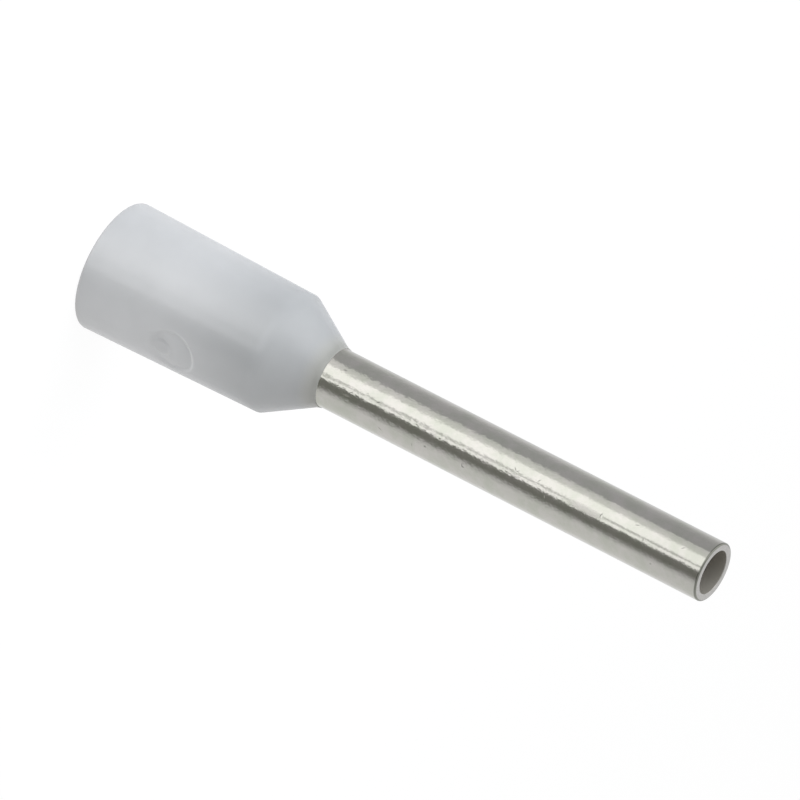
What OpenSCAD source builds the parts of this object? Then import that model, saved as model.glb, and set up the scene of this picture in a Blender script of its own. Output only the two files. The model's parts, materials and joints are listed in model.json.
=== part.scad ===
// Insulated wire ferrule, in millimetres.
// A thin metal sleeve with a flared end is seated in a moulded plastic collar.
// The ferrule stands on the collar's mouth, with the sleeve pointing up along +Z.
// The origin is the centre of the mouth. The gate mark faces -Y.

/* [Sleeve] */
// Length of sleeve that stands out of the collar
sleeve_reach = 10; // [6:0.5:18]
// Inside diameter of the sleeve
sleeve_bore_d = 1.03; // [0.8:0.01:1.3]
// Wall thickness of the sleeve
sleeve_wall = 0.18; // [0.1:0.01:0.2]
// Radius on the outer edge of the cut end
tip_round = 0.04; // [0.01:0.01:0.08]
// Radius on the inner edge of the cut end
tip_bore_round = 0.02; // [0.01:0.005:0.03]

/* [Flare] */
// Angle between the flare and the axis
flare_angle = 20; // [16:1:24]
// Outside radius of the bend from the sleeve into its flare
bend_r = 0.45; // [0.3:0.05:0.8]
// Length of the bend that shows in front of the collar
bend_reach = 0.1; // [0.05:0.01:0.12]
// Clearance all round between the flared end and the collar's wire entry
flare_gap = 0.16; // [0.1:0.01:0.25]
// Radius on the edges of the flared end
flare_round = 0.03; // [0.01:0.005:0.045]

/* [Collar] */
// Length of the collar
collar_length = 5.9; // [5:0.1:9]
// Inside diameter of the wire entry
entry_d = 2.4; // [2.2:0.05:3.2]
// Wall thickness at the mouth
mouth_wall = 0.32; // [0.25:0.01:0.4]
// Wall thickness at the shoulder
shoulder_wall = 0.23; // [0.15:0.01:0.25]
// Angle between the cone and the axis
cone_angle = 29.8; // [28:0.1:40]
// Radius on the shoulder
shoulder_round = 0.06; // [0.02:0.01:0.4]
// Radius of the hollow where the cone runs out on the sleeve
neck_round = 0.6; // [0.2:0.05:0.8]
// Width of the lip round the sleeve
neck_lip = 0.01; // [0.01:0.005:0.05]

/* [Mouth] */
// Wall left at the rim by the lead-in
rim_wall = 0.15; // [0.12:0.01:0.22]
// Depth of the lead-in
lead_in = 0.4; // [0.1:0.05:0.8]
// Radius on the rim's outer edge
rim_round = 0.04; // [0.01:0.01:0.08]

/* [Gate mark] */
// Diameter of the recess round the gate
gate_d = 1.1; // [0.8:0.05:1.8]
// Depth of the recess
gate_depth = 0.04; // [0.01:0.005:0.08]
// Height of the recess's middle above the mouth
gate_z = 2.57; // [1.5:0.01:3]
// Diameter of the stub left by the gate
stub_d = 0.42; // [0.2:0.02:0.46]
// Height of the stub above the recess
stub_height = 0.03; // [0.01:0.005:0.05]
// How far below the recess's middle the stub is
stub_drop = 0.28; // [0:0.02:0.3]

/* [Fit] */
// Clearance between the sleeve and the collar it is pressed into
seat_gap = 0.005; // [0.005:0.005:0.03]

/* [Hidden] */
$fn = 96;
// Steps in each rounded edge and in each bend
ARC_STEPS = 6;
// How far a cutting shape runs past what it cuts
PAST = 0.5;
// How deep the gate's stub is rooted in the wall
STUB_ROOT = 0.05;

sleeve_bore_r = sleeve_bore_d / 2;
sleeve_r = sleeve_bore_r + sleeve_wall;
sleeve_top = collar_length + sleeve_reach;

// The collar's seat and both faces of the sleeve bend round one centre.
bend_centre = [sleeve_r + bend_r, collar_length + bend_reach];
seat_bend_r = bend_r - seat_gap;
inner_bend_r = bend_r + sleeve_wall;

entry_r = entry_d / 2;
mouth_r = entry_r + mouth_wall;
shoulder_r = entry_r + shoulder_wall;
flare_r = entry_r - flare_gap;

// The collar's front edge lies on the bend, and its outside runs out along the same slope.
front_slope = asin(bend_reach / seat_bend_r);
seat_front_r = bend_centre[0] - seat_bend_r * cos(front_slope);
neck_end = [seat_front_r + neck_lip, collar_length];
neck_start = neck_end + neck_round * [cos(front_slope) - cos(cone_angle), sin(front_slope) - sin(cone_angle)];
shoulder_z = neck_start[1] - (shoulder_r - neck_start[0]) / tan(cone_angle);
draft = atan((mouth_r - shoulder_r) / shoulder_z);

// Points on an arc of radius r about a centre, from one angle to another.
function arc(centre, r, from, to) =
    [for (i = [0:ARC_STEPS]) centre + r * [cos(from + (to - from) * i / ARC_STEPS),
                                           sin(from + (to - from) * i / ARC_STEPS)]];

// The same points in the opposite order.
function reversed(points) = [for (i = [len(points) - 1:-1:0]) points[i]];

// The bend at a distance from its centre, from a slope to the flare's.
function bend(r, from_slope = 0) = arc(bend_centre, r, 180 + from_slope, 180 + flare_angle);

// The point where the flare that follows a bend reaches a given radius from the axis.
function flare_at(r, target_r) =
    let (start = bend(r)[ARC_STEPS])
    [target_r, start[1] - (target_r - start[0]) / tan(flare_angle)];

// An edge rounded between two faces with outward normals at the two angles.
function rounded_corner(corner, r, from, to) =
    arc(corner - r * [cos(from) + cos(to), sin(from) + sin(to)] / (1 + cos(to - from)), r, from, to);

// Radius of the collar's outside at a height below the shoulder.
function collar_outer_r(z) = mouth_r - z * tan(draft);

module insulating_collar() {
    color([0.92, 0.93, 0.94])
    union() {
        difference() {
            collar_shell();
            gate_recess();
        }
        gate_stub();
    }
}

module collar_shell() {
    neck_centre = neck_end + neck_round * [cos(front_slope), sin(front_slope)];
    rotate_extrude()
    polygon(concat(
        rounded_corner([mouth_r, 0], rim_round, -90, draft),
        rounded_corner([shoulder_r, shoulder_z], shoulder_round, draft, cone_angle),
        arc(neck_centre, neck_round, 180 + cone_angle, 180 + front_slope),
        bend(seat_bend_r, front_slope),
        [flare_at(seat_bend_r, entry_r)],
        [[entry_r, lead_in]],
        [[mouth_r - rim_wall, 0]]
    ));
}

// A shallow round pocket whose floor follows the collar's outside.
module gate_recess() {
    difference() {
        translate([0, 0, gate_z])
            rotate([90, 0, 0])
            cylinder(h = mouth_r + PAST, d = gate_d);
        cylinder(h = shoulder_z, r1 = mouth_r - gate_depth, r2 = shoulder_r - gate_depth);
    }
}

// The stub of plastic left where the gate was cut off, rooted in the wall.
module gate_stub() {
    stub_z = gate_z - stub_drop;
    recess_floor_r = collar_outer_r(stub_z) - gate_depth;
    translate([0, STUB_ROOT - recess_floor_r, stub_z])
        rotate([90, 0, 0])
        cylinder(h = STUB_ROOT + stub_height, d = stub_d);
}

module metal_sleeve() {
    flare_outer = flare_at(bend_r, flare_r);
    flare_inner = flare_outer - sleeve_wall * [cos(flare_angle), sin(flare_angle)];
    color([0.78, 0.77, 0.74])
    rotate_extrude()
    polygon(concat(
        reversed(rounded_corner([sleeve_r, sleeve_top], tip_round, 0, 90)),
        bend(bend_r),
        reversed(rounded_corner(flare_outer, flare_round, flare_angle - 90, flare_angle)),
        reversed(rounded_corner(flare_inner, flare_round, flare_angle - 180, flare_angle - 90)),
        reversed(bend(inner_bend_r)),
        reversed(rounded_corner([sleeve_bore_r, sleeve_top], tip_bore_round, 90, 180))
    ));
}

insulating_collar();
metal_sleeve();
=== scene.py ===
"""Looks of the insulated wire ferrule: fine meshes over its two CAD nodes, their finishes, and the studio.

Lengths written in this script are in millimetres, and MM turns them into metres.
Angles are in degrees. An azimuth is 0 at -Y and grows towards +X.
"""

import json
import math

import bpy
from mathutils import Matrix, Vector

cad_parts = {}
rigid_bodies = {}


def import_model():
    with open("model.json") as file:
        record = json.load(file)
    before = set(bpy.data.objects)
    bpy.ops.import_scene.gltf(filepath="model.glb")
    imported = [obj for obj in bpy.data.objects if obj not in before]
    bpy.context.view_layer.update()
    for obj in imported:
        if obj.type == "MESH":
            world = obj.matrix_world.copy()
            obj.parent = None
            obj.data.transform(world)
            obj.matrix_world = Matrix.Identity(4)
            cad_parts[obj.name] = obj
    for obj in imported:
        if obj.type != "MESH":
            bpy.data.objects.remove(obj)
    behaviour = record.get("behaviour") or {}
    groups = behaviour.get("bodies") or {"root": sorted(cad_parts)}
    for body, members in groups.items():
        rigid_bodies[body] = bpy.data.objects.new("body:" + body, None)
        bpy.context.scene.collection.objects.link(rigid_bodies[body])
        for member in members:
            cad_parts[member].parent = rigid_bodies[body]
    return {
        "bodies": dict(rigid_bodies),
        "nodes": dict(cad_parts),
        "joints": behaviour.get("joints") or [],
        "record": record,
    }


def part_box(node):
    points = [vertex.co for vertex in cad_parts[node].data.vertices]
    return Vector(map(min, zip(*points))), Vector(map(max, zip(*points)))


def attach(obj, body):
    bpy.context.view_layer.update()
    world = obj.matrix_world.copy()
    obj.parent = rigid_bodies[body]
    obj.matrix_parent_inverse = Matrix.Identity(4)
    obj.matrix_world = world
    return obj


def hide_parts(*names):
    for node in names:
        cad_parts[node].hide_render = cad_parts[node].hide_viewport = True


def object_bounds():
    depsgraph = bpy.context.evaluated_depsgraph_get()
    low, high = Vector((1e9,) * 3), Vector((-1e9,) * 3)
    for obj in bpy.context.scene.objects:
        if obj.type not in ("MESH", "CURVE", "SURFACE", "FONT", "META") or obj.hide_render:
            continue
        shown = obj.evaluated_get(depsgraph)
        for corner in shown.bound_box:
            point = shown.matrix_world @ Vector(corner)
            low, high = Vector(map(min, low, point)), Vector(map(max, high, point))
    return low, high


MM = 0.001

# Collar
MOUTH_WALL = 0.32
SHOULDER_WALL = 0.23
SHOULDER_ROUND = 0.06
CONE_ANGLE = 29.8
NECK_ROUND = 0.6
NECK_LIP = 0.01
RIM_WALL = 0.15
RIM_ROUND = 0.04
LEAD_IN = 0.4

# Sleeve and its flare
SEAT_GAP = 0.001
BEND_R = 0.45
BEND_REACH = 0.1
FLARE_ANGLE = 20
FLARE_GAP = 0.16
FLARE_ROUND = 0.03
TIP_ROUND = 0.04
TIP_BORE_ROUND = 0.02

# Gate mark on the collar's -Y side. Its outline is crisp, and softer towards the mouth. The last two
# values say where that begins: round the collar, and upwards, from the recess's middle.
GATE_Z = 2.57
GATE_R = 0.55
GATE_DEPTH = 0.04
GATE_EDGE = 0.045
GATE_SOFT_EDGE = 0.15
STUB_R = 0.21
STUB_DROP = 0.28
STUB_HEIGHT = 0.03
STUB_EDGE = 0.06
SOFT_FROM_ACROSS = -0.3
SOFT_FROM_UP = 0.1

# Half the height of the band in which the shading turns from the wall to the cone
SHOULDER_SOFT = 0.35

# Meshes: the longest step along an outline, and the angle between two columns. The closer ones at the
# gate reach this angle to either side of -Y, and this far above and below the recess.
COLLAR_STEP = 0.15
COLLAR_TURN = 3
GATE_STEP = 0.02
GATE_TURN = 0.65
GATE_REACH_TURN = 36
GATE_REACH_UP = 0.2
SLEEVE_STEP = 0.1
SLEEVE_TURN = 2.25

# Plastic: its colours, painted shade towards the shoulder, and painted shade and painted reflection of
# the metal beside the sleeve, with the heights and radii between which these come in
PLASTIC_CLOUDS = ((0.68, 0.685, 0.69, 1), (0.70, 0.705, 0.71, 1))
# Painted shade: the plastic darkens towards the shoulder, where the sleeve's flare lies behind the wall
PLASTIC_PAINTED_SHADE = (0.485, 0.495, 0.50, 1)
# Painted shade and painted reflection of the metal: darker and warmer beside the sleeve
PLASTIC_SHADE_AND_REFLECTION = (0.555, 0.555, 0.51, 1)
PAINTED_SHADE_HEIGHTS = (1.9, 5.2)
SLEEVE_SHADE_HEIGHTS = (4.9, 5.2)
SLEEVE_SHADE_OUTER_R = 0.95
SLEEVE_SHADE_MARGIN = 0.03
LIGHT_SPREAD = 0.4
RIPPLES = 2.5
RIPPLE_DEPTH = 0.005

# Painted light at the gate: painted shade round its stub, and a painted highlight on the upper edge of
# its recess. The shade fades between two distances. The highlight is full to one half width and fades out
# at the next.
STUB_SHADE_MIDDLE = (-0.1, -1.46, 2.26)
STUB_SHADE_COLOUR = (0.05, 0.05, 0.05, 1)
STUB_SHADE_SHARE = 0.10
STUB_SHADE_FADES = (0.38, 0.12)
RECESS_MIDDLE = (0, -1.46, GATE_Z)
RECESS_HIGHLIGHT_COLOUR = (0.8, 0.8, 0.8, 1)
RECESS_HIGHLIGHT_SHARE = 0.4
RECESS_HIGHLIGHT_FULL = 0.01
RECESS_HIGHLIGHT_FADES = 0.08

# Metal
TIN_CLOUDS = ((0.62, 0.63, 0.565, 1), (0.705, 0.685, 0.65, 1))
# Painted dark reflection on the tip's rounded edge
TIN_EDGE_REFLECTION = (0.28, 0.285, 0.25, 1)
CUT_END_GRAIN = ((0.50, 0.495, 0.475, 1), (0.60, 0.585, 0.57, 1))
MARK_COLOUR = (0.66, 0.66, 0.61)
TIN_ROUGHNESS = 0.12
SCUFF_ROUGHENS_BY = 0.2
BORE_CLOUDS = ((0.43, 0.415, 0.365, 1), (0.455, 0.41, 0.355, 1))
BORE_NEAR_END = (0.32, 0.30, 0.26, 1)
BORE_END_LENGTH = 1.5

# The tin's relief. Waves and drawing lines are given as bumps per mm along each axis, dents as bumps
# per mm, and every depth in mm.
WAVES = (1.2, 1.2, 0.4)
WAVE_DEPTH = 0.006
BROAD_DENTS = 3
BROAD_DENT_DEPTH = 0.004
FINE_DENTS = ((9, 0.005), (25, 0.0022))
DRAWING_LINES = (18, 18, 1)
DRAWING_LINE_DEPTH = 0.0005
MARK_DEPTH = 0.0028

# Heights between which the fine dents grow shallower, and between which the tin gets duller
DENTS_WEAR = (10.5, 14.5)
DENTS_WORN_SHARE = 0.55
TIN_DULLS = (13.5, 15.5)
TIN_DULL_SHARE = 0.06

# Floor
FLOOR_HALF = 2000
FLOOR_GREY = 0.85
FLOOR_WHITE = 1.07
FLOOR_WHITE_SHARE = 0.85

# Camera
CAMERA_AZIMUTH = -51
CAMERA_ELEVATION = 23.24
CAMERA_ROLL = 117.144
CAMERA_DISTANCE = 320
CAMERA_OFFSET = (-0.2455, 0.3836)
CAMERA_SEES = (10, 10000)
FIELD_OF_VIEW = 3.1134

# Light
WORLD_LEVEL = 0.61
KEY_AZIMUTH = CAMERA_AZIMUTH - 66
KEY_ELEVATION = 35
KEY_SIZE = 44
KEY_DISTANCE = 35
KEY_POWER = 0.0102
KEY_COLOUR = (0.88, 0.93, 1.0)

# What shines in the gloss from above and below. Each pair is where a level comes in, as one part of
# the direction's unit vector: x to the right of an upright camera, y away from it, and z up.
SKY_LEVEL = 0.55
SKY_Z = (0.1, 0.5)
SKY_BEHIND = 0.8
BEHIND_Y = (0.0, 0.6)
SKY_BESIDE_KEY = 1.05
BESIDE_KEY_X = (0.0, -0.7)
BELOW_LEVEL = 0.95
BELOW_Z = (-0.6, -0.85)

# What shines in the gloss all round: the angle from the camera's side, positive to the right of an
# upright camera, the brightness, and its extra blue
SURROUNDINGS = (
    (-180, 0.78, 0.01),
    (-150, 0.74, 0.02),
    (-136, 0.63, 0.01),
    (-120, 0.49, 0.01),
    (-100, 0.42, 0.01),
    (-64, 0.41, 0.01),
    (-59, 0.72, 0),
    (-38, 0.84, -0.01),
    (-31, 1.3, -0.01),
    (-1, 1.3, -0.01),
    (3, 0.62, -0.01),
    (6, 0.62, -0.01),
    (10, 1.25, -0.01),
    (17, 1.2, -0.01),
    (21, 0.32, -0.01),
    (26, 0.21, -0.015),
    (44, 0.19, -0.015),
    (52, 0.28, -0.01),
    (62, 0.54, 0),
    (74, 0.68, 0),
    (130, 0.74, 0),
    (155, 0.85, 0.01),
    (180, 0.78, 0.01),
)

# Marks on the sleeve: height, azimuth, half length, half width, slant from the axis, shade
MARKS = (
    (6.33, -74, 0.06, 0.035, 0, 0.62),
    (6.62, -33, 0.14, 0.03, 5, 1.3),
    (7.4, -48, 0.07, 0.015, 30, 0.5),
    (7.6, -2, 0.06, 0.015, -35, 0.6),
    (8.45, -3, 0.015, 0.06, 0, 0.7),
    (8.78, -14, 0.04, 0.03, 0, 0.65),
    (9.76, -14, 0.015, 0.06, 10, 0.45),
    (9.79, -12, 0.04, 0.015, 0, 0.5),
    (10.34, 14, 0.06, 0.02, -50, 0.7),
    (10.98, -54, 0.06, 0.012, -45, 0.5),
    (11.05, -52, 0.06, 0.012, 45, 0.55),
    (11.6, -55, 0.05, 0.012, 50, 0.5),
    (11.86, -34, 0.02, 0.06, 20, 1.5),
    (13.25, -51, 0.015, 0.07, -15, 0.4),
    (13.28, -50, 0.015, 0.06, 15, 1.3),
    (14.1, -65, 0.06, 0.015, 20, 0.65),
    (14.38, -46, 0.012, 0.06, 10, 0.5),
    (14.72, -11, 0.03, 0.03, 0, 0.75),
    (15.29, -66, 0.05, 0.012, 40, 0.6),
)

# A patch rubbed dull: height, azimuth, half length, half width, slant from the axis
SCUFF = (12.85, -47, 0.55, 0.1, 0)

# Where a mark and the patch fade out, as shares of their half sizes
MARK_FADES = (1.2, 0.1)
SCUFF_FADES = (1.1, 0.6)


class Shader:
    """Adds nodes to a material or a world, and links them."""

    def __init__(self, owner):
        owner.use_nodes = True
        self.tree = owner.node_tree
        self.tree.nodes.clear()

    def add(self, kind, inputs=(), **settings):
        """A node with its properties set; an input is a value or another node's output socket."""
        node = self.tree.nodes.new(kind)
        for name, value in settings.items():
            setattr(node, name, value)
        for name, value in dict(inputs).items():
            if isinstance(value, bpy.types.NodeSocket):
                self.tree.links.new(value, node.inputs[name])
            else:
                node.inputs[name].default_value = value
        return node

    def math(self, operation, *values):
        return self.add("ShaderNodeMath", enumerate(values), operation=operation).outputs[0]

    def fade(self, value, start, end):
        """Goes smoothly from 0 at start to 1 at end."""
        inputs = {"Value": value, "From Min": start, "From Max": end}
        return self.add("ShaderNodeMapRange", inputs, interpolation_type="SMOOTHSTEP").outputs[0]

    def mix(self, share, first, second):
        """A colour that goes from the first to the second as share goes from 0 to 1."""
        node = self.tree.nodes.new("ShaderNodeMix")
        node.data_type = "RGBA"
        sockets = {s.identifier: s for s in node.inputs}
        for identifier, value in (("Factor_Float", share), ("A_Color", first), ("B_Color", second)):
            if isinstance(value, bpy.types.NodeSocket):
                self.tree.links.new(value, sockets[identifier])
            else:
                sockets[identifier].default_value = value
        return node.outputs["Result"]

    def noise(self, position, scale, detail=2.0, roughness=0.5):
        inputs = {"Vector": position, "Scale": scale, "Detail": detail, "Roughness": roughness}
        return self.add("ShaderNodeTexNoise", inputs).outputs["Fac"]

    def clouds(self, position, colours, scale, detail=3.0, roughness=0.5):
        """Soft patches of two colours."""
        share = self.fade(self.noise(position, scale, detail, roughness), 0.3, 0.7)
        return self.mix(share, *colours)

    def bump(self, height, distance, normal=None):
        inputs = {"Height": height, "Distance": distance, "Strength": 1.0}
        if normal:
            inputs["Normal"] = normal
        return self.add("ShaderNodeBump", inputs).outputs["Normal"]

    def position_mm(self, factors=(1, 1, 1)):
        """The place on the object in millimetres, multiplied along each axis by a factor."""
        place = self.add("ShaderNodeTexCoord").outputs["Object"]
        inputs = {0: place, 1: [f / MM for f in factors]}
        return self.add("ShaderNodeVectorMath", inputs, operation="MULTIPLY").outputs[0]

    def distance(self, position, point):
        inputs = {0: position, 1: point}
        return self.add("ShaderNodeVectorMath", inputs, operation="DISTANCE").outputs["Value"]

    def split(self, vector):
        return self.add("ShaderNodeSeparateXYZ", {0: vector}).outputs

    def surface(self, shader_socket):
        """Ends the material with this shader."""
        self.add("ShaderNodeOutputMaterial", {"Surface": shader_socket})


def grey(level):
    return (level, level, level, 1)


# ---------------------------------------------------------------- outlines, as (radius, height) points


def arc(centre, radius, start, end, steps=8):
    angles = [math.radians(start + (end - start) * i / steps) for i in range(steps + 1)]
    return [Vector((centre[0] + radius * math.cos(a), centre[1] + radius * math.sin(a))) for a in angles]


def facing(angle):
    """The unit vector at an angle above the horizontal, pointing away from the axis."""
    return Vector((math.cos(math.radians(angle)), math.sin(math.radians(angle))))


def rounded_corner(corner, radius, start, end):
    """An edge rounded between two faces whose outward normals are at the two angles."""
    share = 1 / (1 + math.cos(math.radians(end - start)))
    centre = Vector(corner) - radius * share * (facing(start) + facing(end))
    return arc(centre, radius, start, end)


class Sizes:
    """The ferrule's sizes in millimetres, from the frame and the values above."""

    def __init__(self, frame):
        mounts = {m["name"]: m["dims"]["r_mm"] for m in frame["record"]["mounts"]}
        self.entry_r = mounts["wire_entry"]
        self.bore_r = mounts["strand_bore"]
        self.sleeve_r = mounts["crimp_barrel"]
        self.wall = self.sleeve_r - self.bore_r
        self.collar_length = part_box("insulating_collar")[1].z / MM
        self.sleeve_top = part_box("metal_sleeve")[1].z / MM
        self.mouth_r = self.entry_r + MOUTH_WALL
        self.shoulder_r = self.entry_r + SHOULDER_WALL
        self.bend_centre = Vector((self.sleeve_r + BEND_R, self.collar_length + BEND_REACH))

        # The collar's front edge lies on the sleeve's bend, and its outside runs out along the same slope.
        self.seat_r = BEND_R - SEAT_GAP
        self.front_slope = math.degrees(math.asin(BEND_REACH / self.seat_r))
        front_r = self.bend_centre.x - self.seat_r * math.cos(math.radians(self.front_slope))
        lip = Vector((front_r + NECK_LIP, self.collar_length))
        self.neck_centre = lip + NECK_ROUND * facing(self.front_slope)
        neck_start = self.neck_centre - NECK_ROUND * facing(CONE_ANGLE)
        cone_width = self.shoulder_r - neck_start.x
        self.shoulder_z = neck_start.y - cone_width / math.tan(math.radians(CONE_ANGLE))
        self.draft = math.degrees(math.atan((self.mouth_r - self.shoulder_r) / self.shoulder_z))

    def collar_outer_r(self, z):
        """Radius of the collar's outside at a height below the shoulder."""
        return self.mouth_r - z * math.tan(math.radians(self.draft))

    def bend(self, radius, slope=0):
        return arc(self.bend_centre, radius, 180 + slope, 180 + FLARE_ANGLE)

    def flare_at(self, bend_r, radius):
        """Where the flare that follows a bend reaches a radius."""
        start = self.bend(bend_r)[-1]
        return Vector((radius, start.y - (radius - start.x) / math.tan(math.radians(FLARE_ANGLE))))

    def collar_outline(self):
        return (
            rounded_corner((self.mouth_r, 0), RIM_ROUND, -90, self.draft)
            + rounded_corner((self.shoulder_r, self.shoulder_z), SHOULDER_ROUND, self.draft, CONE_ANGLE)
            + arc(self.neck_centre, NECK_ROUND, 180 + CONE_ANGLE, 180 + self.front_slope)
            + self.bend(self.seat_r, self.front_slope)
            + [self.flare_at(self.seat_r, self.entry_r)]
            + [Vector((self.entry_r, LEAD_IN)), Vector((self.mouth_r - RIM_WALL, 0))]
        )

    def sleeve_outline(self):
        outer_corner = self.flare_at(BEND_R, self.entry_r - FLARE_GAP)
        inner_corner = outer_corner - self.wall * facing(FLARE_ANGLE)
        return (
            self.bend(BEND_R)[::-1]
            + rounded_corner((self.sleeve_r, self.sleeve_top), TIP_ROUND, 0, 90)
            + rounded_corner((self.bore_r, self.sleeve_top), TIP_BORE_ROUND, 90, 180)
            + self.bend(BEND_R + self.wall)
            + rounded_corner(inner_corner, FLARE_ROUND, FLARE_ANGLE - 180, FLARE_ANGLE - 90)
            + rounded_corner(outer_corner, FLARE_ROUND, FLARE_ANGLE - 90, FLARE_ANGLE)
        )


# ---------------------------------------------------------------- meshes


def split_step(start, end, longest):
    """Points from start up to, but without, end, in equal steps of at most the longest."""
    count = max(1, math.ceil((end - start).length / longest))
    return [start.lerp(end, i / count) for i in range(count)]


def split_long_steps(outline, longest):
    """The closed outline with points added, so that no step is longer than the longest."""
    points = []
    for start, end in zip(outline, outline[1:] + outline[:1]):
        points += split_step(start, end, longest)
    return points


def revolve(name, outline, columns):
    """A solid of revolution about Z; columns are the angles of its vertices in radians."""
    points = [
        (p.x * math.cos(a) * MM, p.x * math.sin(a) * MM, p.y * MM) for p in outline for a in columns
    ]
    rows, width = len(outline), len(columns)
    faces = []
    for i in range(rows):
        for j in range(width):
            below, above = i * width, (i + 1) % rows * width
            right = (j + 1) % width
            faces.append((below + j, below + right, above + right, above + j))
    mesh = bpy.data.meshes.new(name)
    mesh.from_pydata(points, [], faces)
    mesh.polygons.foreach_set("use_smooth", [True] * len(faces))
    mesh.update()
    piece = bpy.data.objects.new(name, mesh)
    bpy.context.scene.collection.objects.link(piece)
    return piece


def smooth_share(value, start, end):
    """0 at start, 1 at end, and smooth between them."""
    share = min(1, max(0, (value - start) / (end - start)))
    return share * share * (3 - 2 * share)


def disc_share(distance, radius, edge):
    """1 inside a disc and 0 outside it, over an edge of this half width."""
    return 1 - smooth_share(distance, radius - edge, radius + edge)


def collar_columns():
    """Angles round the collar in radians, close together across the gate mark on the -Y side."""
    near = GATE_REACH_TURN
    count = round(2 * near / GATE_TURN)
    dense = [-90 - near + 2 * near * i / count for i in range(count)]
    wide = round((360 - 2 * near) / COLLAR_TURN)
    sparse = [-90 + near + (360 - 2 * near) * i / wide for i in range(wide)]
    return [math.radians(a) for a in dense + sparse]


def collar_rows(outline):
    """The collar's outline, with rows close together across the gate mark."""
    points = []
    for start, end in zip(outline, outline[1:] + outline[:1]):
        outside_wall = start.y < GATE_Z < end.y
        if not outside_wall:
            points += split_step(start, end, COLLAR_STEP)
            continue
        reach = GATE_R + GATE_REACH_UP
        low = start.lerp(end, (GATE_Z - reach - start.y) / (end.y - start.y))
        high = start.lerp(end, (GATE_Z + reach - start.y) / (end.y - start.y))
        points += split_step(start, low, COLLAR_STEP)
        points += split_step(low, high, GATE_STEP)
        points += split_step(high, end, COLLAR_STEP)
    return points


def press_gate_mark(piece, sizes):
    """Sinks the round recess into the collar's wall, and leaves the gate's stub in it."""
    half_wall = SHOULDER_WALL / 2
    for vertex in piece.data.vertices:
        x, y, z = (c / MM for c in vertex.co)
        radius = math.hypot(x, y)
        on_outside = radius > sizes.collar_outer_r(z) - half_wall
        if y > 0 or not on_outside:
            continue
        across = radius * math.atan2(x, -y)
        up = z - GATE_Z
        softness = smooth_share(-up, -SOFT_FROM_UP, GATE_R) if across > SOFT_FROM_ACROSS else 0
        edge = GATE_EDGE + softness * (GATE_SOFT_EDGE - GATE_EDGE)
        sunk = GATE_DEPTH * disc_share(math.hypot(across, up), GATE_R, edge)
        raised = STUB_HEIGHT * disc_share(math.hypot(across, up + STUB_DROP), STUB_R, STUB_EDGE)
        share = (radius - sunk + raised) / radius
        vertex.co.x *= share
        vertex.co.y *= share


def soften_shoulder(piece, sizes):
    """Turns the shading slowly across the shoulder, as light spreads in the translucent plastic."""
    mesh = piece.data
    mesh.update()
    low, high = sizes.shoulder_z - SHOULDER_SOFT, sizes.shoulder_z + SHOULDER_SOFT
    normals = [vertex.normal.copy() for vertex in mesh.vertices]
    for vertex in mesh.vertices:
        x, y, z = (c / MM for c in vertex.co)
        outside = vertex.normal.x * x + vertex.normal.y * y > 0
        if not outside or not low <= z <= high:
            continue
        radius = math.hypot(x, y)
        slope = facing(sizes.draft + smooth_share(z, low, high) * (CONE_ANGLE - sizes.draft))
        normals[vertex.index] = Vector((slope.x * x / radius, slope.x * y / radius, slope.y))
    mesh.normals_split_custom_set_from_vertices(normals)


def make_collar(sizes):
    piece = revolve("collar", collar_rows(sizes.collar_outline()), collar_columns())
    press_gate_mark(piece, sizes)
    soften_shoulder(piece, sizes)
    piece.data.materials.append(collar_plastic(sizes))
    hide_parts("insulating_collar")
    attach(piece, "root")


def make_sleeve(sizes):
    count = round(360 / SLEEVE_TURN)
    columns = [math.tau * i / count for i in range(count)]
    piece = revolve("sleeve", split_long_steps(sizes.sleeve_outline(), SLEEVE_STEP), columns)
    flat_faces = piece.modifiers.new("flat_faces_stay_flat", "WEIGHTED_NORMAL")
    flat_faces.weight = 80
    piece.data.materials.append(tinned_copper(sizes))
    piece.data.materials.append(dull_bore(sizes))
    for face in piece.data.polygons:
        inwards = -face.normal.dot(face.center.xy.to_3d().normalized())
        in_bore = inwards > 0.9 and face.center.z > sizes.collar_length * MM
        if in_bore:
            face.material_index = 1
    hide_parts("metal_sleeve")
    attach(piece, "root")


# ---------------------------------------------------------------- materials


def radius_of(shader, place):
    """The distance from the axis, from the three parts of a position."""
    squares = [shader.math("MULTIPLY", part, part) for part in place[:2]]
    return shader.math("SQRT", shader.math("ADD", *squares))


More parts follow.
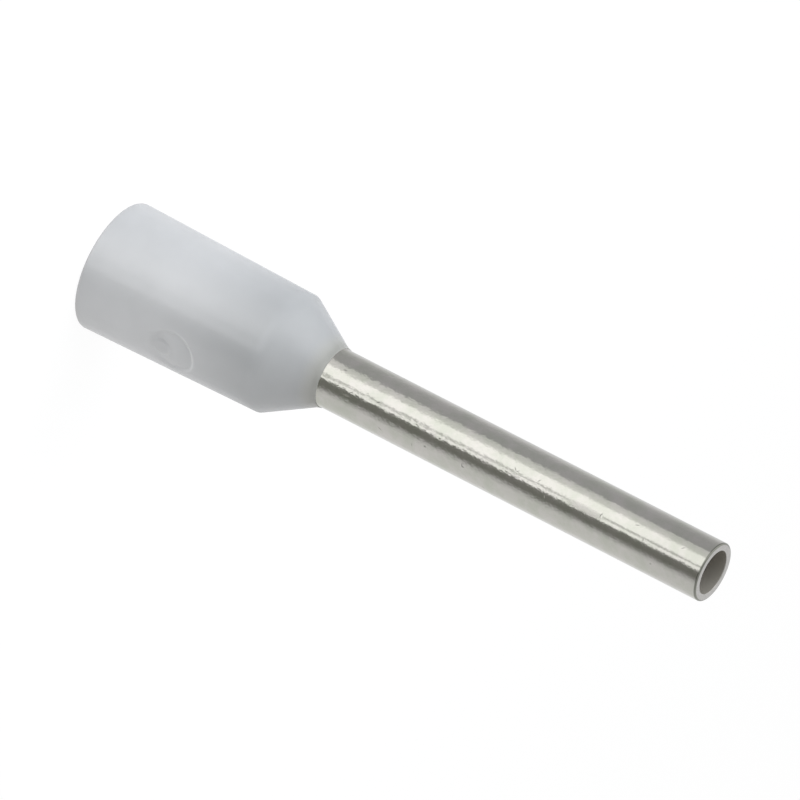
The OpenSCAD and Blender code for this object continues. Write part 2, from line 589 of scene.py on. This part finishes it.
def collar_plastic(sizes):
    """White polypropylene with a soft gloss; painted shade darkens it towards the shoulder, where the
    sleeve's flare lies behind the wall.
    """
    material = bpy.data.materials.new("collar_plastic")
    shader = Shader(material)
    position = shader.position_mm()
    place = shader.split(position)
    height = place[2]
    colour = shader.clouds(position, PLASTIC_CLOUDS, scale=1.3)
    # Painted shade: darker from the middle of the wall up to the shoulder
    colour = shader.mix(shader.fade(height, *PAINTED_SHADE_HEIGHTS), colour, PLASTIC_PAINTED_SHADE)
    # Painted shade and painted reflection of the metal: darker and warmer beside the sleeve
    shade_beside_metal = shader.fade(radius_of(shader, place), SLEEVE_SHADE_OUTER_R, sizes.sleeve_r + SLEEVE_SHADE_MARGIN)
    shade_and_reflection_at_neck = shader.math("MULTIPLY", shade_beside_metal, shader.fade(height, *SLEEVE_SHADE_HEIGHTS))
    colour = shader.mix(shade_and_reflection_at_neck, colour, PLASTIC_SHADE_AND_REFLECTION)
    # Painted shade round the gate's stub
    stub_shade = shader.math("MULTIPLY", painted_stub_shade(shader, position), STUB_SHADE_SHARE)
    colour = shader.mix(stub_shade, colour, STUB_SHADE_COLOUR)
    # Painted highlight on the upper edge of the gate's recess
    recess_highlight = shader.math("MULTIPLY", painted_recess_highlight(shader, position, height), RECESS_HIGHLIGHT_SHARE)
    colour = shader.mix(recess_highlight, colour, RECESS_HIGHLIGHT_COLOUR)
    ripple = shader.noise(position, RIPPLES, detail=4, roughness=0.6)
    principled = shader.add(
        "ShaderNodeBsdfPrincipled",
        {
            "Base Color": colour,
            "Roughness": 0.25,
            "IOR": 1.55,
            "Specular IOR Level": 1.0,
            "Subsurface Weight": 0.4,
            "Subsurface Radius": [LIGHT_SPREAD * MM] * 3,
            "Subsurface Scale": 1.0,
            "Normal": shader.bump(ripple, RIPPLE_DEPTH * MM),
        },
    )
    shader.surface(principled.outputs[0])
    return material


def painted_stub_shade(shader, position):
    """1 where shade is painted on the gate's stub, fading out round it."""
    return shader.fade(shader.distance(position, STUB_SHADE_MIDDLE), *STUB_SHADE_FADES)


def painted_recess_highlight(shader, position, height):
    """1 on the upper edge of the gate's recess, where a highlight is painted."""
    distance = shader.distance(position, RECESS_MIDDLE)
    inside = shader.fade(distance, GATE_R - RECESS_HIGHLIGHT_FADES, GATE_R - RECESS_HIGHLIGHT_FULL)
    outside = shader.fade(distance, GATE_R + RECESS_HIGHLIGHT_FADES, GATE_R + RECESS_HIGHLIGHT_FULL)
    upper = shader.fade(height, GATE_Z, GATE_Z + 0.3)
    return shader.math("MULTIPLY", shader.math("MULTIPLY", inside, outside), upper)


def tinned_copper(sizes):
    """Electro-tinned copper, with clouds, dents, drawing lines and marks, a painted dark reflection on the
    tip's rounded edge, and a bare ring at the cut.
    """
    material = bpy.data.materials.new("tinned_copper")
    shader = Shader(material)
    position = shader.position_mm()
    place = shader.split(position)
    flat_place = unrolled(shader, place, sizes)
    tin = shader.clouds(position, TIN_CLOUDS, scale=2.5, detail=4, roughness=0.6)
    duller = shader.math("MULTIPLY", shader.fade(place[2], *TIN_DULLS), TIN_DULL_SHARE)
    tin = shader.mix(duller, tin, grey(0))
    marked, tin = add_marks(shader, flat_place, sizes, tin)
    tin = add_cut_end_and_edge_reflection(shader, position, place, sizes, tin)
    scuffed = shader.math("MULTIPLY", scuff_patch(shader, flat_place, sizes), SCUFF_ROUGHENS_BY)
    principled = shader.add(
        "ShaderNodeBsdfPrincipled",
        {
            "Base Color": tin,
            "Metallic": 1.0,
            "Roughness": shader.math("ADD", scuffed, TIN_ROUGHNESS),
            "Normal": tin_relief(shader, position, place[2], marked),
        },
    )
    shader.surface(principled.outputs[0])
    return material


def add_cut_end_and_edge_reflection(shader, position, place, sizes, colour):
    """The colour with a painted dark reflection on the rounded edge, and a pale, grainy ring where the
    tube was cut.
    """
    top, outer_r = sizes.sleeve_top, sizes.sleeve_r
    # Painted dark reflection on the rounded edge at the tip
    edge = shader.fade(place[2], top - 1.3 * TIP_ROUND, top - 0.8 * TIP_ROUND)
    colour = shader.mix(edge, colour, TIN_EDGE_REFLECTION)
    face = shader.fade(radius_of(shader, place), outer_r - 0.8 * TIP_ROUND, outer_r - 1.1 * TIP_ROUND)
    grain = shader.clouds(position, CUT_END_GRAIN, scale=22, detail=2)
    return shader.mix(shader.math("MULTIPLY", face, edge), colour, grain)


def tin_relief(shader, position, height, marked):
    """Bumps for the tin's waves, dents, drawing lines and marks."""
    normal = shader.bump(shader.noise(shader.position_mm(WAVES), 1.0, detail=1), WAVE_DEPTH * MM)
    normal = shader.bump(shader.noise(position, BROAD_DENTS, detail=1), BROAD_DENT_DEPTH * MM, normal)
    dents_left = shader.math("MULTIPLY_ADD", shader.fade(height, *DENTS_WEAR), -DENTS_WORN_SHARE, 1.0)
    for scale, depth in FINE_DENTS:
        dents = shader.math("MULTIPLY", shader.noise(position, scale, detail=1), dents_left)
        normal = shader.bump(dents, depth * MM, normal)
    lines = shader.noise(shader.position_mm(DRAWING_LINES), 1.0, detail=3)
    normal = shader.bump(lines, DRAWING_LINE_DEPTH * MM, normal)
    return shader.bump(marked, -MARK_DEPTH * MM, normal)


def unrolled(shader, place, sizes):
    """The place on the sleeve laid flat: millimetres round it from -Y, and the height."""
    azimuth = shader.math("ARCTAN2", place[0], shader.math("MULTIPLY", place[1], -1.0))
    around = shader.math("MULTIPLY", azimuth, sizes.sleeve_r)
    return shader.add("ShaderNodeCombineXYZ", {0: around, 1: place[2]}).outputs[0]


def spot(shader, flat_place, sizes, height, azimuth, half_length, half_width, slant):
    """The distance from a spot's middle, which is 1 on its oval edge."""
    inputs = {
        "Vector": flat_place,
        "Location": (math.radians(azimuth) * sizes.sleeve_r, height, 0),
        "Rotation": (0, 0, math.radians(slant)),
        "Scale": (half_width, half_length, 1),
    }
    inside = shader.add("ShaderNodeMapping", inputs, vector_type="TEXTURE").outputs[0]
    return shader.add("ShaderNodeVectorMath", {0: inside}, operation="LENGTH").outputs["Value"]


def scuff_patch(shader, flat_place, sizes):
    """1 where the sleeve has been rubbed dull, on a patch about a millimetre long."""
    return shader.fade(spot(shader, flat_place, sizes, *SCUFF), *SCUFF_FADES)


def add_marks(shader, flat_place, sizes, colour):
    """The share of the surface that is marked, and the colour with each mark's shade in it."""
    marked = None
    for *shape, shade in MARKS:
        mark = shader.fade(spot(shader, flat_place, sizes, *shape), *MARK_FADES)
        colour = shader.mix(mark, colour, (*(shade * part for part in MARK_COLOUR), 1))
        marked = shader.math("MAXIMUM", marked, mark) if marked else mark
    return marked, colour


def dull_bore(sizes):
    """The inside of the sleeve, where the tin is dull and brown."""
    material = bpy.data.materials.new("dull_bore")
    shader = Shader(material)
    position = shader.position_mm()
    height = shader.split(position)[2]
    colour = shader.clouds(position, BORE_CLOUDS, scale=4)
    near_end = shader.fade(height, sizes.sleeve_top - BORE_END_LENGTH, sizes.sleeve_top)
    colour = shader.mix(near_end, colour, BORE_NEAR_END)
    principled = shader.add(
        "ShaderNodeBsdfPrincipled", {"Base Color": colour, "Metallic": 0.15, "Roughness": 0.5}
    )
    shader.surface(principled.outputs[0])
    return material


def white_for_camera(shader, floor_shader):
    """Shows white to the camera while the floor still takes the object's shadow."""
    rays = shader.add("ShaderNodeLightPath").outputs
    white = shader.add("ShaderNodeEmission", {"Color": grey(1), "Strength": FLOOR_WHITE}).outputs[0]
    share = shader.math("MULTIPLY", rays["Is Camera Ray"], FLOOR_WHITE_SHARE)
    return shader.add("ShaderNodeMixShader", {0: share, 1: floor_shader, 2: white}).outputs[0]


# ---------------------------------------------------------------- studio


def make_floor():
    half = FLOOR_HALF * MM
    corners = [(-half, -half, 0), (half, -half, 0), (half, half, 0), (-half, half, 0)]
    mesh = bpy.data.meshes.new("floor")
    mesh.from_pydata(corners, [], [(0, 1, 2, 3)])
    floor = bpy.data.objects.new("floor", mesh)
    bpy.context.scene.collection.objects.link(floor)
    material = bpy.data.materials.new("floor")
    shader = Shader(material)
    matt = shader.add("ShaderNodeBsdfDiffuse", {"Color": grey(FLOOR_GREY)}).outputs[0]
    shader.surface(white_for_camera(shader, matt))
    mesh.materials.append(material)
    floor.visible_glossy = False


def make_world():
    """A plain grey studio, white to the camera, with panels and gaps that only the gloss shows."""
    world = bpy.data.worlds.new("studio")
    bpy.context.scene.world = world
    shader = Shader(world)
    rays = shader.add("ShaderNodeLightPath").outputs
    colour = shader.mix(rays["Is Glossy Ray"], grey(WORLD_LEVEL), what_shines(shader))
    colour = shader.mix(rays["Is Camera Ray"], colour, grey(1))
    background = shader.add("ShaderNodeBackground", {"Color": colour, "Strength": 1.0})
    shader.add("ShaderNodeOutputWorld", {"Surface": background.outputs[0]})


def what_shines(shader):
    """The brightness that the gloss shows in each direction."""
    direction = shader.add("ShaderNodeTexCoord").outputs["Generated"]
    turn = {"Vector": direction, "Axis": (0, 0, 1), "Angle": math.radians(-CAMERA_AZIMUTH)}
    x, y, z = shader.split(shader.add("ShaderNodeVectorRotate", turn).outputs[0])
    angle = shader.math("ARCTAN2", x, shader.math("MULTIPLY", y, -1.0))
    share = shader.math("MULTIPLY_ADD", angle, 1 / math.tau, 0.5)
    ramp = shader.add("ShaderNodeValToRGB", {"Fac": share})
    stops = ramp.color_ramp.elements
    for degrees, _, _ in SURROUNDINGS[1:-1]:
        stops.new(degrees / 360 + 0.5)
    for stop, (_, level, blue) in zip(stops, SURROUNDINGS):
        stop.color = (level, level, level + blue, 1)
    sky = shader.mix(shader.fade(y, *BEHIND_Y), grey(SKY_LEVEL), grey(SKY_BEHIND))
    sky = shader.mix(shader.fade(x, *BESIDE_KEY_X), sky, grey(SKY_BESIDE_KEY))
    shine = shader.mix(shader.fade(z, *SKY_Z), ramp.outputs[0], sky)
    return shader.mix(shader.fade(z, *BELOW_Z), shine, grey(BELOW_LEVEL))


def towards(azimuth, elevation):
    """The unit vector to an azimuth and an elevation."""
    a, e = math.radians(azimuth), math.radians(elevation)
    return Vector((math.sin(a) * math.cos(e), -math.cos(a) * math.cos(e), math.sin(e)))


def make_key_light(middle):
    data = bpy.data.lights.new("key", "AREA")
    data.size = KEY_SIZE * MM
    data.energy = KEY_POWER
    data.color = KEY_COLOUR
    light = bpy.data.objects.new("key", data)
    bpy.context.scene.collection.objects.link(light)
    direction = towards(KEY_AZIMUTH, KEY_ELEVATION)
    light.location = middle + direction * KEY_DISTANCE * MM
    light.rotation_euler = direction.to_track_quat("Z", "Y").to_euler()
    light.visible_glossy = False


def make_camera(middle):
    data = bpy.data.cameras.new("camera")
    data.angle = math.radians(FIELD_OF_VIEW)
    data.clip_start, data.clip_end = (distance * MM for distance in CAMERA_SEES)
    camera = bpy.data.objects.new("camera", data)
    bpy.context.scene.collection.objects.link(camera)
    back = towards(CAMERA_AZIMUTH, CAMERA_ELEVATION)
    turn = back.to_track_quat("Z", "Y").to_matrix() @ Matrix.Rotation(math.radians(CAMERA_ROLL), 3, "Z")
    right, up = turn.col[0], turn.col[1]
    place = middle + MM * (back * CAMERA_DISTANCE + right * CAMERA_OFFSET[0] + up * CAMERA_OFFSET[1])
    camera.matrix_world = Matrix.Translation(place) @ turn.to_4x4()
    bpy.context.scene.camera = camera


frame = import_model()
cad_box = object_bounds()
middle = (cad_box[0] + cad_box[1]) / 2
sizes = Sizes(frame)
make_camera(middle)
make_collar(sizes)
make_sleeve(sizes)
make_floor()
make_world()
make_key_light(middle)
bpy.context.scene.view_settings.view_transform = "Standard"
